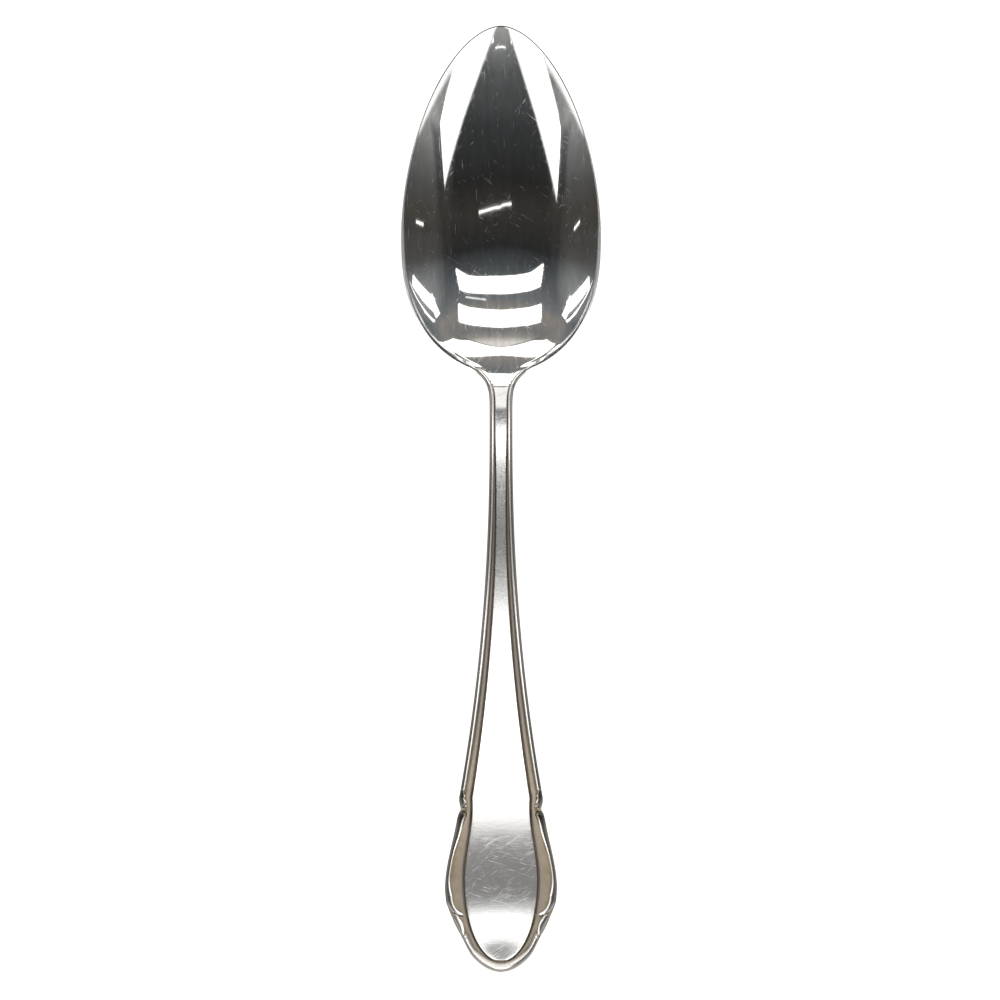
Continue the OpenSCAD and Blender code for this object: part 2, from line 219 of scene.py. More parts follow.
def skin(name, rings, values, poles=None):
    rings = np.asarray(rings)
    count, size = rings.shape[:2]
    verts = rings.reshape(-1, 3)
    i = np.arange(count - 1)[:, None] * size
    k = np.arange(size)[None, :]
    n = (k + 1) % size
    faces = np.stack([i + k, i + n, i + size + n, i + size + k], -1).reshape(-1, 4).tolist()
    extra = {key: np.asarray(value, float).reshape(-1) for key, value in values.items()}
    if poles is None:
        faces += [list(range(size))[::-1], list(range((count - 1) * size, count * size))]
    else:
        verts = np.vstack([verts, poles])
        first, last = len(verts) - 2, len(verts) - 1
        for a in range(size):
            b = (a + 1) % size
            faces += [[first, b, a], [last, (count - 1) * size + a, (count - 1) * size + b]]
        extra = {key: np.append(value, [value[0], value[-1]]) for key, value in extra.items()}
    mesh = bpy.data.meshes.new(name)
    mesh.from_pydata((verts * mm).tolist(), [], faces)
    mesh.calc_loop_triangles()
    outward(mesh)
    for key, value in extra.items():
        mesh.attributes.new(key, "FLOAT", "POINT").data.foreach_set("value", value)
    mesh.polygons.foreach_set("use_smooth", [True] * len(mesh.polygons))
    obj = bpy.data.objects.new(name, mesh)
    bpy.context.collection.objects.link(obj)
    print(name, len(mesh.vertices), "points", len(mesh.polygons), "faces")
    return obj


# %% [markdown]
# ## Bowl
# The hollow is an egg of its own inside the rim. Along the sides it runs right up to the rim band.
# Round the heel it stops short, at a soft crease, and a lip carries on to the neck. The real bowl is
# sunk into a die. Here its height is worked out along rays from the widest place, because a ray
# crosses hollow, lip and rim band one after the other.

# %% Rim of the bowl, as rays from its middle
front_n, back_n, flare_n, joint_n, fine_n = 73, 61, 15, 17, 2000
front = wide_y + bowl_front_l * np.cos(np.pi / 2 * np.linspace(0, 1, front_n))
root_angle = np.arcsin((wide_y - root_y) / bowl_back_l)
back = wide_y - bowl_back_l * np.sin(root_angle * np.linspace(0, 1, back_n)[1:])
flare = mix(root_y, joint_y, np.linspace(0, 1, flare_n)[1:])
side_y = np.concatenate([front, back, flare])
side_x = np.where(side_y < root_y, body_hw(side_y), bowl_hw(side_y))
right_rim = np.stack([side_x, side_y], -1)
joint_x = side_x[-1] * np.linspace(1, -1, joint_n)[1:-1]
joint_edge = np.stack([joint_x, np.full(joint_n - 2, joint_y)], -1)
left_rim = (right_rim * [-1, 1])[:0:-1]
rim = np.concatenate([right_rim, joint_edge, left_rim])
pole = np.array([0.0, wide_y])
print("rim points", len(rim), "from", rim[0], "to the solder line", rim[len(right_rim) - 1])

# %% Reach of the egg in each direction
fine = np.linspace(0, 1, fine_n)
egg_y = np.concatenate([wide_y + bowl_front_l * np.cos(np.pi / 2 * fine),
                        wide_y - bowl_back_l * np.sin(np.pi / 2 * fine[1:])])
egg_turn = np.arctan2(bowl_hw(egg_y), egg_y - wide_y)
egg_r = np.hypot(bowl_hw(egg_y), egg_y - wide_y)
print("reach to the tip", egg_r[0], "to the heel", egg_r[-1])

# %% [markdown]
# ## Hollow, lip and rim band
# The lip is a slope of its own, which mirrors another part of the room than the hollow does. The rim
# band is a low bead, thinner round the tip. Each of these changes begins at some angle from the tip
# and takes some more degrees, so both numbers are kept as a pair. A change that eases in and out
# leaves no line in the mirror.

# %% Height of the hollow, the lip and the rim band
lip_l, root_sink, rim_round, tip_band = 5.2, 0.32, 0.25, 0.3
lip_slope, lip_bend, lip_hw = (0.53, 0.365), (0.03, 0.0125), 14
bevel_slope, bevel_w, bevel_start_l, bevel_full_l = 0.13, 0.9, 1.2, 2.4
hollow_power, drop_power, lean_step = 2.2, 6, 0.8
band_turn, crease_turn, bead_turn = (60, 60), (110, 65), (115, 55)
sink_turn, bevel_turn, root_turn = (125, 50), (150, 12), (158, 10)


def after(degrees, turn):
    start, span = turn
    return ease((degrees - start) / span)


def edge_hw(y):
    return np.where(y < root_y, body_hw(y), bowl_hw(y)) - rim_band


def edge_distance(x, y):
    lean = (edge_hw(y + lean_step) - edge_hw(y - lean_step)) / (2 * lean_step)
    return (edge_hw(y) - x) / np.hypot(1, lean)


def bowl_top(p):
    x, y, d = np.abs(p[..., 0]), p[..., 1], p - pole
    r = np.hypot(d[..., 0], d[..., 1])
    turn = np.arctan2(x, d[..., 1])
    degrees = np.degrees(turn)
    egg_here = np.interp(turn, egg_turn, egg_r)
    rim_z = ledge_z(wide_y + egg_here * np.cos(turn))
    band_w = mix(tip_band, rim_band, after(degrees, band_turn))
    inner = egg_here - band_w
    crease = egg_here - mix(band_w, lip_l, after(degrees, crease_turn))
    middle = ease(1 - crease * np.sin(turn) / lip_hw)
    bead_h = rim_round * band_w / rim_band * (1 - after(degrees, bead_turn))

    def lip_rise(d):
        bend = mix(*lip_bend, 1 - (1 - middle) ** 2)
        return (mix(*lip_slope, middle) + bend * (inner - crease - d)) * d

    crease_z = rim_z - bead_h - lip_rise(inner - crease) - root_sink * after(degrees, sink_turn)
    from_edge = edge_distance(x, y)
    bevel = bevel_slope * np.clip(bevel_w - from_edge, 0, bevel_w) * after(degrees, bevel_turn)
    bevel = bevel * ease((y - root_y + bevel_start_l) / bevel_full_l)
    hollow = floor_t + (crease_z - floor_t) * (np.minimum(r, crease) / crease) ** hollow_power
    lip = hollow + lip_rise(np.maximum(r - crease, 0)) + bevel
    over = clamp01((r - inner) / band_w)
    root = after(degrees, root_turn)
    band = ledge_z(y) - bead_h * (2 * over - 1) ** 2
    side = np.maximum(ease((0.1 - from_edge) / 0.3), 1 - root)
    return np.where(r < inner, lip, mix(lip, band, side)), over * (1 - root), degrees


def bowl_under(s, edge_z, drop):
    return (edge_z - rim_t) * s**hollow_power - drop * s**drop_power


print("depth of the hollow at its sides", rim_mid_h - floor_t, "length of the lip", lip_l)

# %% [markdown]
# ## Rings of the bowl
# The rings run from the middle of the hollow out to the rim, over its edge and back underneath. They
# crowd towards the rim, where the slope changes most. Two values go along for the silver: where the rim
# band is rubbed dull, and where a dark reflection is painted on it, which is round the tip and a little
# at the heel.

# %% Rings of the bowl
tip_turn, heel_turn = (20, 18), (118, 22)
# The heel gets a fifth of the painted dark reflection that the rim band has round the tip.
less_rubbed, heel_painted_dark, band_soft, band_s = 0.45, 0.2, 0.25, 0.996
top_steps = np.concatenate([np.linspace(0.02, 0.7, 50), np.linspace(0.7, 0.95, 60)[1:],
                            np.linspace(0.95, band_s, 30)[1:]])
edge_steps = [(0.9985, 0.0), (1.0, 0.02), (1.0, 0.25)]
under_steps = np.linspace(1.0, 0.02, 60)
edge_z = ledge_z(rim[:, 1])
share = clamp01((root_y - rim[:, 1]) / (root_y - joint_y))
across = np.abs(rim[:, 0]) / side_x[-1]
side_drop = 0.45 * neck_t - rim_t
joint_drop = mix(neck_t - rim_t, side_drop, ease((across - 0.45) / 0.55))
drop = np.where(rim[:, 1] <= joint_y + 1e-9, joint_drop, side_drop * share)
rings, rim_value, tip_value = [], [], []
for s, fall in [(s, 0.0) for s in top_steps] + edge_steps:
    flat = pole + (rim - pole) * s
    top, on_rim, degrees = bowl_top(flat)
    at_tip, at_heel = 1 - after(degrees, tip_turn), after(degrees, heel_turn)
    rings.append(np.column_stack([flat, np.minimum(top, edge_z) - fall if s > band_s else top]))
    rim_value.append(ease(on_rim / band_soft) * (1 - at_tip - less_rubbed * at_heel))
    # Where the rim band gets a painted dark reflection: round the tip, and a little at the heel.
    tip_value.append(ease(on_rim / band_soft) * (at_tip + heel_painted_dark * at_heel))
for s in under_steps:
    flat = pole + (rim - pole) * s
    rings.append(np.column_stack([flat, bowl_under(s, edge_z, drop)]))
    rim_value.append(np.zeros(len(rim)))
    tip_value.append(np.zeros(len(rim)))
bowl = skin("bowl_shell", rings, {"rim": rim_value, "tip": tip_value},
            [[0, wide_y, floor_t], [0, wide_y, 0.0]])

# %% [markdown]
# ## Handle
# A section across the handle is a flat panel with a rounded edge, a steep wall, a hollowed channel,
# the ledge that carries the thread, and a softly rounded back. The section is made once as a
# function of the place along the handle, and stations crowd together where the outline turns fast.
# Three values go along for the silver: channel, flat panel and the groove at the foot of the wall,
# which gets painted shade.

# %% Section of the handle
edge_r, channel_dip, wall_in, wall_out, end_crown, ledge_r = 0.1, 0.16, 0.2, 0.15, 0.1, 0.12
panel_n, arc_n, channel_n, under_n = 15, 6, 12, 16
flat_n, low_n, rest_n = panel_n + arc_n - 1, 1 + channel_n + arc_n, 1 + under_n


def half_section(y):
    w, z, t = outline_hw(y), ledge_z(y), handle_t(y)
    past = 1 - ease((y - panel_end_y) / 0.35)
    p = np.maximum(panel_hw(y), 0.06 * w)
    foot = min(p + wall_out, 0.9 * w)
    brow = p - min(wall_in, 0.3 * p) * ease((narrow_y - y) / 30)
    seat = max(w - thread_w, foot + 0.25 * (w - foot))
    dip = channel_dip * min(1, seat - foot)
    h = mix(mix(panel_start_h, panel_h, ease((joint_y - y) / panel_ramp_l)), -dip, past)
    r = min(edge_r, 0.4 * brow)
    drop = min(r, 0.4 * max(h, 0))
    a = np.linspace(0, np.pi / 2, arc_n)
    v = np.linspace(0, 1, channel_n + 1)[1:]
    x_share = np.linspace(0, 1, panel_n)
    fall = end_crown * ease((rest_y + 3 - y) / 22) * (1 - past)
    panel = np.stack([(brow - r) * x_share, z + h - fall * x_share**2], -1)
    edge = np.stack([brow - r + r * np.sin(a), z + h - fall - drop * (1 - np.cos(a))], -1)[1:]
    ledge = np.array([[foot, z - dip * mix(0.5, 1, past)]])
    sag = mix(np.sin(np.pi * mix(0.17, 1, v)) ** 0.7, np.cos(np.pi / 2 * v) ** 0.7, past)
    channel = np.stack([mix(foot, seat, v), z - dip * sag], -1)
    corner_x = w - ledge_r * w / (w + 0.2) * (1 - np.sin(a))
    corner = np.stack([corner_x, z - ledge_r * (1 - np.cos(a))], -1)
    side = np.array([[w, z - ledge_r / 2 - 0.225 * t]])
    back_x = np.linspace(1, 0, under_n)
    back = np.stack([w * back_x, z - t + 0.55 * t * (clamp01((back_x - 0.4) / 0.6)) ** 2], -1)
    lows = np.repeat([past, 1.0, 0.0], [flat_n, low_n, rest_n])
    flats = np.repeat([1 - past, 0.0], [panel_n, arc_n - 1 + low_n + rest_n])
    # Painted shade at the foot of the wall: the bottom of the panel's edge and the foot get it fully,
    # and it fades across the channel.
    painted_groove_shades = (1 - past) * np.concatenate([np.zeros(flat_n - 2), [0.5, 1.0, 1.0], (1 - v) ** 1.6,
                                           np.zeros(arc_n + rest_n)])
    return np.concatenate([panel, edge, ledge, channel, corner, side, back]), lows, flats, painted_groove_shades


print("points in half a section", len(half_section(lobe_y)[0]))


# %% Stations and rings of the handle
def crowd(a, b, n, power=1.0):
    return a + (b - a) * np.linspace(0, 1, n)[:-1] ** power


notch_l, point_l, tip_l = 2.4, 3, 1.2
stations = np.concatenate([
    crowd(joint_y - 0.02, notch_y + notch_l, 230), crowd(notch_y + notch_l, notch_y - notch_l, 50),
    crowd(notch_y - notch_l, panel_end_y + point_l, 110), crowd(panel_end_y + point_l, panel_end_y, 40),
    crowd(panel_end_y, end_y + tip_l, 16), end_y + tip_l * np.linspace(1, 0.04, 30) ** 2])
rings, channel_value, panel_value, painted_groove_shade_value = [], [], [], []
for y in stations:
    right, lows, flats, painted_groove_shades = half_section(y)
    order = np.concatenate([np.arange(len(right)), np.arange(len(right) - 2, 0, -1)])
    sign = np.concatenate([np.ones(len(right)), -np.ones(len(right) - 2)])
    points = right[order]
    rings.append(np.column_stack([points[:, 0] * sign, np.full(len(order), y), points[:, 1]]))
    channel_value.append(lows[order])
    panel_value.append(flats[order])
    painted_groove_shade_value.append(painted_groove_shades[order])
handle = skin("handle_blank", rings,
              {"channel": channel_value, "panel": panel_value, "painted_groove_shade": painted_groove_shade_value})

# %% [markdown]
# ## Threads
# Each border thread is a bead that follows the edge of the handle and swells into a knob at its
# ends. On the real spoon the die strikes it. Here it is a path with a width at every point, so
# Geometry Nodes sweep one profile along it: a circle that the tree flattens below, stretches
# upwards and leans to one side.

# %% Helpers for node trees
def add_input(tree, name, kind, value=None):
    socket = tree.interface.new_socket(name, in_out="INPUT", socket_type=kind)
    if value is not None:
        socket.default_value = value
    return socket.identifier


def node(tree, kind, inputs=None, **settings):
    made = tree.nodes.new(kind)
    for key, value in settings.items():
        setattr(made, key, value)
    for key, value in (inputs or {}).items():
        made.inputs[key].default_value = value
    return made


def wire(tree, *pairs):
    for a, b in pairs:
        tree.links.new(a, b)


# %% Geometry Nodes tree for a thread
bead_sides, bead_share, bead_foot = 28, 1.26, -0.12
thread_tree = bpy.data.node_groups.new("thread_sweep", "GeometryNodeTree")
add_input(thread_tree, "Path", "NodeSocketGeometry")
add_input(thread_tree, "Sides", "NodeSocketInt", bead_sides)
height_id = add_input(thread_tree, "Height share", "NodeSocketFloat", bead_share)
lean_id = add_input(thread_tree, "Lean", "NodeSocketFloat", 0.0)
silver_id = add_input(thread_tree, "Silver", "NodeSocketMaterial")
thread_tree.interface.new_socket("Thread", in_out="OUTPUT", socket_type="NodeSocketGeometry")
enter = node(thread_tree, "NodeGroupInput")
leave = node(thread_tree, "NodeGroupOutput")
to_curve = node(thread_tree, "GeometryNodeMeshToCurve")
upright = node(thread_tree, "GeometryNodeSetCurveNormal", mode="Z_UP")
circle = node(thread_tree, "GeometryNodeCurvePrimitiveCircle", {"Radius": 1.0})
place = node(thread_tree, "GeometryNodeInputPosition")
split = node(thread_tree, "ShaderNodeSeparateXYZ")
raise_up = node(thread_tree, "ShaderNodeMath", operation="MULTIPLY")
flatten = node(thread_tree, "ShaderNodeMath", {1: bead_foot}, operation="MAXIMUM")
lean_on = node(thread_tree, "ShaderNodeMath", operation="MULTIPLY_ADD")
turn_up = node(thread_tree, "ShaderNodeMath", {1: -1.0}, operation="MULTIPLY")
join = node(thread_tree, "ShaderNodeCombineXYZ")
shape = node(thread_tree, "GeometryNodeSetPosition")
# The height on the bead's profile is stored; the silver reads it for a painted highlight on the tops, a
# painted dark reflection on the flanks and a little roughness.
crest_and_painted_highlight = node(thread_tree, "GeometryNodeStoreNamedAttribute",
             {"Name": "crest_and_painted_highlight"}, data_type="FLOAT", domain="POINT")
width = node(thread_tree, "GeometryNodeInputNamedAttribute", {"Name": "half_width"}, data_type="FLOAT")
sweep = node(thread_tree, "GeometryNodeCurveToMesh", {"Fill Caps": True})
smooth = node(thread_tree, "GeometryNodeSetShadeSmooth")
real = node(thread_tree, "GeometryNodeRealizeInstances")
coat = node(thread_tree, "GeometryNodeSetMaterial")
wire(thread_tree,
     (enter.outputs["Path"], to_curve.inputs[0]), (to_curve.outputs[0], upright.inputs["Curve"]),
     (enter.outputs["Sides"], circle.inputs["Resolution"]), (place.outputs[0], split.inputs[0]),
     (split.outputs["Y"], raise_up.inputs[0]), (enter.outputs["Height share"], raise_up.inputs[1]),
     (raise_up.outputs[0], flatten.inputs[0]), (flatten.outputs[0], lean_on.inputs[0]),
     (enter.outputs["Lean"], lean_on.inputs[1]), (split.outputs["X"], lean_on.inputs[2]),
     (lean_on.outputs[0], join.inputs["X"]), (flatten.outputs[0], turn_up.inputs[0]),
     (turn_up.outputs[0], join.inputs["Y"]),
     (circle.outputs[0], crest_and_painted_highlight.inputs["Geometry"]), (split.outputs["Y"], crest_and_painted_highlight.inputs["Value"]),
     (crest_and_painted_highlight.outputs[0], shape.inputs["Geometry"]), (join.outputs[0], shape.inputs["Position"]),
     (upright.outputs[0], sweep.inputs["Curve"]), (shape.outputs[0], sweep.inputs["Profile Curve"]),
     (width.outputs[0], sweep.inputs["Scale"]), (sweep.outputs[0], smooth.inputs["Geometry"]),
     (smooth.outputs[0], real.inputs[0]), (real.outputs[0], coat.inputs["Geometry"]),
     (enter.outputs["Silver"], coat.inputs["Material"]), (coat.outputs[0], leave.inputs[0]))
print("thread tree", len(thread_tree.nodes), "nodes")

# %% [markdown]
# ## From a path to a finished thread
# The path goes in as a mesh of edges. Its points carry half of the thread's width and how much painted
# dark reflection the silver gets there. The result is turned into a plain mesh straight away, because a
# finished piece has no live modifier.

# %% Make one thread
thread_silver = bpy.data.materials.new("thread_silver")
thread_silver.use_nodes = True


def bake(name, guide, tree, inputs):
    obj = bpy.data.objects.new(name, guide)
    bpy.context.collection.objects.link(obj)
    mod = obj.modifiers.new("nodes", "NODES")
    mod.node_group = tree
    for identifier, value in inputs.items():
        mod[identifier] = value
    depsgraph = bpy.context.evaluated_depsgraph_get()
    mesh = bpy.data.meshes.new_from_object(obj.evaluated_get(depsgraph), depsgraph=depsgraph)
    obj.modifiers.remove(mod)
    obj.data = mesh
    mesh.calc_loop_triangles()
    outward(mesh)
    bpy.data.meshes.remove(guide)
    print(name, len(mesh.vertices), "points", len(mesh.polygons), "faces")
    return obj


def make_thread(name, path, half_width, lean=0.0, height=bead_share, painted_dark=0.0):
    guide = bpy.data.meshes.new(name + "_path")
    guide.from_pydata((path * mm).tolist(), [(i, i + 1) for i in range(len(path) - 1)], [])
    for name_here, value in (("half_width", half_width * mm), ("painted_dark", np.zeros(len(path)) + painted_dark)):
        guide.attributes.new(name_here, "FLOAT", "POINT").data.foreach_set("value", value)
    return bake(name, guide, thread_tree, {height_id: height, lean_id: lean, silver_id: thread_silver})


def round_end(s, l):
    return np.sqrt(np.maximum(1 - (1 - clamp01(s / l)) ** 2, 0.02))


# %% [markdown]
# ## Border of the stem, the lobes and the point
# The stem threads run from the root of the neck to a small scroll above the notch. The lobe threads
# start in a knob below it, follow the lobe and hook in to the panel. A leaf scroll fills the place
# below each hook, and one thread goes round the blunt point from knob to knob. Each path lies half
# of its own width inside the outline. Only the right-hand side is worked out, the left mirrors it.

# %% Path of the stem thread and its scroll
scroll_gap, scroll_l, scroll_w, thread_lap, end_round = 0.25, 3.9, (0.45, 1.25), 0.8, 0.8
scroll_end_y = notch_y + scroll_gap
thread_top_y, thread_end_y = root_y - 0.2, scroll_end_y + scroll_l - thread_lap
thread_start_y, wide_stem_y = thread_top_y - 1.2, -52
y = np.concatenate([
    crowd(thread_top_y, thread_start_y, 16, 1.6), crowd(thread_start_y, wide_stem_y, 220),
    crowd(wide_stem_y, thread_end_y + 1, 40), thread_end_y + np.linspace(1, 0, 16) ** 1.6])
full = thread_w / 2
half = full * round_end(np.minimum(thread_top_y - y, y - thread_end_y), end_round)
stem_path = np.column_stack([outline_hw(y) - full, y, ledge_z(y)]), half
# The stem thread gets painted dark reflection, more towards its foot.
stem_painted_dark = 0.5 * ease((-12 - y) / 40)
u = np.linspace(0, 1, 60)
y = scroll_end_y + scroll_l * (1 - u)
full = mix(*scroll_w, np.sin(np.pi * u**1.4) ** 0.6) / 2
scroll_path = np.column_stack([outline_hw(y) - full, y, ledge_z(y)]), full * round_end(1 - u, 0.15)
print("stem thread from", thread_top_y, "to", thread_end_y, "scroll to", scroll_end_y)

# %% Path of the lobe thread and its hook
knob_l, knob_round, below_knob_w, slim_w, hook_w, hook_tip_r = 3, 0.75, 1.25, 0.8, 1.5, 0.36
knob_y, hook_y, hook_l = notch_y - scroll_gap, lobe_y - 1.6, 3.4
hook_tip_x = float(panel_hw(hook_y - hook_l)) + 0.45
y = np.concatenate([knob_y - np.linspace(0, 1, 16) ** 1.6, crowd(knob_y - 1.05, hook_y, 110)])
s = knob_y - y
knob = mix(below_knob_w, knob_w, 1 - ease(s / knob_l))
slim = mix(below_knob_w, slim_w, ease((s - knob_l) / 6))
full = np.where(s < knob_l, knob, mix(slim, hook_w, ease((s - 12) / 6.5))) / 2
edge_path = np.column_stack([outline_hw(y) - full, y, full * round_end(s, knob_round)])
hook_start_x = float(outline_hw(hook_y)) - full[-1]
a = np.linspace(0, np.pi / 2, 40)
hook_r = mix(hook_tip_r, full[-1], np.cos(a)) * round_end(np.degrees(np.pi / 2 - a), 14)
hook_x = mix(hook_tip_x, hook_start_x, np.cos(a))
hook = np.column_stack([hook_x, hook_y - hook_l * np.sin(a), hook_r])
lobe = np.concatenate([edge_path, hook])
lobe_path = np.column_stack([lobe[:, :2], ledge_z(lobe[:, 1])]), lobe[:, 2]
# The knob at the head of the lobe thread gets painted dark reflection.
lobe_painted_dark = 1 - ease((knob_y - lobe[:, 1] - 0.8) / 3)
print("lobe thread from", knob_y, "to the hook's tip at", hook_tip_x, hook_y - hook_l)

# %% Path of the leaf scroll
leaf_gap, leaf_l, leaf_w, leaf_tip_r = 0.05, 3.7, 1.45, 0.2
leaf_top_y = hook_y - hook_l - leaf_gap
y = leaf_top_y - leaf_l * u
half = mix(leaf_tip_r, leaf_w / 2, np.sin(np.pi * u**0.8) ** 0.55)
leaf_path = np.column_stack([outline_hw(y) - half, y, ledge_z(y)]), half
print("leaf from", leaf_top_y, "to", leaf_top_y - leaf_l)

# %% Path of the thread round the blunt point
end_thread_w, nose_thread_w, end_knob_l, slope_step = 1.3, 1.7, 1.6, 0.01
end_knob_y = leaf_top_y - leaf_l - leaf_gap
end_knob_x = float(outline_hw(end_knob_y))
x = end_knob_x * np.cos(np.pi * np.linspace(0, 1, 240))
slope = (nose_edge_y(x + slope_step) - nose_edge_y(x - slope_step)) / (2 * slope_step)
inward = np.stack([-slope, np.ones_like(slope)], -1) / np.hypot(slope, 1)[:, None]
s = nose_edge_y(end_knob_x) - nose_edge_y(x)
full = mix(end_thread_w, nose_thread_w, ease(s / 5 - 0.4))
full = mix(full, knob_w, 1 - ease(s / end_knob_l)) / 2
flat = np.stack([x, nose_edge_y(x)], -1) + inward * full[:, None]
end_path = np.column_stack([flat, ledge_z(flat[:, 1])]), full * round_end(s, knob_round)
print("end knob", end_knob_x, end_knob_y)

# %% Sweep the threads on both sides
threads, scrolls = {}, {}
for side, sign in (("right", 1), ("left", -1)):
    flip = np.array([sign, 1, 1])
    for kind, (path, half), lean, painted_dark in (("stem_thread", stem_path, 0.15, stem_painted_dark),
                                           ("lobe_thread", lobe_path, 0.45, lobe_painted_dark),
                                           ("leaf_scroll", leaf_path, 0.45, 0.0)):
        piece = make_thread(f"{kind}_{side}_bead", path * flip, half, lean * sign, painted_dark=painted_dark)
        threads[f"{kind}_{side}"] = piece
    path, half = scroll_path
    # The shoulder scrolls get much painted dark reflection.
    scrolls[side] = make_thread(f"shoulder_scroll_{side}", path * flip, half, 0.3 * sign, painted_dark=0.7)
threads["end_thread"] = make_thread("end_thread_bead", *end_path, height=1.0)

# %% [markdown]
# ## Flutes on the shoulder scrolls
# The scroll at the foot of each stem thread is struck with a few slanting flutes, and the knob of
# the end thread has one more. They are small drops set on points, so Geometry Nodes instance one
# drop on all of them, each turned and stretched by the values of its point.

# %% Geometry Nodes tree for the flutes
flute_tree = bpy.data.node_groups.new("scroll_flutes", "GeometryNodeTree")
add_input(flute_tree, "Points", "NodeSocketGeometry")
drop_id = add_input(flute_tree, "Drop size", "NodeSocketVector")
flute_silver_id = add_input(flute_tree, "Silver", "NodeSocketMaterial")
flute_tree.interface.new_socket("Flutes", in_out="OUTPUT", socket_type="NodeSocketGeometry")
enter, leave = node(flute_tree, "NodeGroupInput"), node(flute_tree, "NodeGroupOutput")
drop = node(flute_tree, "GeometryNodeMeshUVSphere", {"Segments": 16, "Rings": 10})
turn = node(flute_tree, "GeometryNodeInputNamedAttribute", {"Name": "turn"}, data_type="FLOAT_VECTOR")
length = node(flute_tree, "GeometryNodeInputNamedAttribute",
              {"Name": "stretch"}, data_type="FLOAT_VECTOR")
size = node(flute_tree, "ShaderNodeVectorMath", operation="MULTIPLY")
spread = node(flute_tree, "GeometryNodeInstanceOnPoints")
real = node(flute_tree, "GeometryNodeRealizeInstances")
# Every flute point is stored as a full top, so each flute gets the painted highlight all over.
crest_and_painted_highlight = node(flute_tree, "GeometryNodeStoreNamedAttribute",
             {"Name": "crest_and_painted_highlight", "Value": 1.0}, data_type="FLOAT", domain="POINT")
smooth = node(flute_tree, "GeometryNodeSetShadeSmooth")
coat = node(flute_tree, "GeometryNodeSetMaterial")
wire(flute_tree,
     (enter.outputs["Points"], spread.inputs["Points"]),
     (drop.outputs["Mesh"], spread.inputs["Instance"]),
     (turn.outputs[0], spread.inputs["Rotation"]), (enter.outputs["Drop size"], size.inputs[0]),
     (length.outputs[0], size.inputs[1]), (size.outputs[0], spread.inputs["Scale"]),
     (spread.outputs[0], real.inputs[0]), (real.outputs[0], crest_and_painted_highlight.inputs["Geometry"]),
     (crest_and_painted_highlight.outputs[0], smooth.inputs["Geometry"]), (smooth.outputs[0], coat.inputs["Geometry"]),
     (enter.outputs["Silver"], coat.inputs["Material"]), (coat.outputs[0], leave.inputs[0]))
print("flute tree", len(flute_tree.nodes), "nodes")

# %% Flutes on both scrolls
flute_size = (0.19 * mm, 0.4 * mm, 0.22 * mm)
flute_rise, flute_in, flute_up = (0.45, 1.45, 2.45), (1.05, 1.05, 0.95, 0.75), (0.8, 0.85, 0.75, 0.85)
flute_turn = (-1.2, -0.45, -0.5, -0.5)
flute_stretch = [(1, 0.75, 1), (1, 1.7, 1), (1, 0.7, 1), (2, 1.2, 1.4)]
flutes = []
for side, sign in (("right", 1), ("left", -1)):
    y = np.append(scroll_end_y + np.array(flute_rise), end_knob_y - 0.2)
    spots = np.column_stack([sign * (outline_hw(y) - flute_in), y, ledge_z(y) + flute_up])
    guide = bpy.data.meshes.new("flute_spots")
    guide.from_pydata((spots * mm).tolist(), [], [])
    for name, values in (("turn", [(0, 0, a * sign) for a in flute_turn]), ("stretch", flute_stretch)):
        guide.attributes.new(name, "FLOAT_VECTOR", "POINT").data.foreach_set("vector", np.ravel(values))
    flutes.append(bake(f"scroll_flutes_{side}", guide, flute_tree,
                       {drop_id: flute_size, flute_silver_id: thread_silver}))

# %% [markdown]
# ## Silver
# Silver is a metal with an almost white tint. What tells the surfaces apart is their wear: the bowl
# is polished and lightly scratched, the panel is satin from years of handling, and the channel keeps
# a warm tarnish that no cloth reaches. The wear is noise, stretched the way that things rub: a
# scratch has a turn, a length and a width in millimetres, and two levels of noise to fade between.

# %% Shader helpers
def fresh(material):
    material.use_nodes = True
    tree = material.node_tree
    tree.nodes.clear()
    shader = node(tree, "ShaderNodeBsdfPrincipled", {"Metallic": 1.0})
    output = node(tree, "ShaderNodeOutputMaterial")
    wire(tree, (shader.outputs[0], output.inputs[0]))
    return tree, shader


def combine(tree, operation, *values):
    math = node(tree, "ShaderNodeMath", operation=operation, use_clamp=True)
    for socket, value in zip(math.inputs, values):
        if isinstance(value, (int, float)):
            socket.default_value = value
        else:
            wire(tree, (value, socket))
    return math.outputs[0]


def most(tree, *values):
    top = values[0]
    for value in values[1:]:
        top = combine(tree, "MAXIMUM", top, value)
    return top


def read(tree, name):
    return node(tree, "ShaderNodeAttribute", attribute_name=name).outputs["Fac"]


def range_of(tree, value, low, high):
    span = node(tree, "ShaderNodeMapRange", {"To Min": low, "To Max": high})
    wire(tree, (value, span.inputs[0]))
    return span.outputs[0]


def tint(tree, value, low, high):
    blend = node(tree, "ShaderNodeMix", data_type="RGBA")
    for socket, colour in ((blend.inputs["A"], low), (blend.inputs["B"], high)):
        if isinstance(colour, tuple):
            socket.default_value = (*colour, 1)
        else:
            wire(tree, (colour, socket))
    wire(tree, (value, blend.inputs["Factor"]))
    return blend.outputs["Result"]


# %% Shader helpers for wear
scratch_d = 0.00002


def scratches(tree, turn, long, fine, low, high):
    place = node(tree, "ShaderNodeTexCoord")
    stretch = (fine * mm, long * mm, long * mm)
    spin = node(tree, "ShaderNodeMapping", {"Rotation": (0, 0, turn), "Scale": stretch},
                vector_type="TEXTURE")
    noise = node(tree, "ShaderNodeTexNoise", {"Scale": 1.0, "Detail": 2.0})
    cut = node(tree, "ShaderNodeMapRange", {"From Min": low, "From Max": high})
    wire(tree, (place.outputs["Object"], spin.inputs[0]), (spin.outputs[0], noise.inputs["Vector"]),
         (noise.outputs[0], cut.inputs[0]))
    return cut.outputs[0]


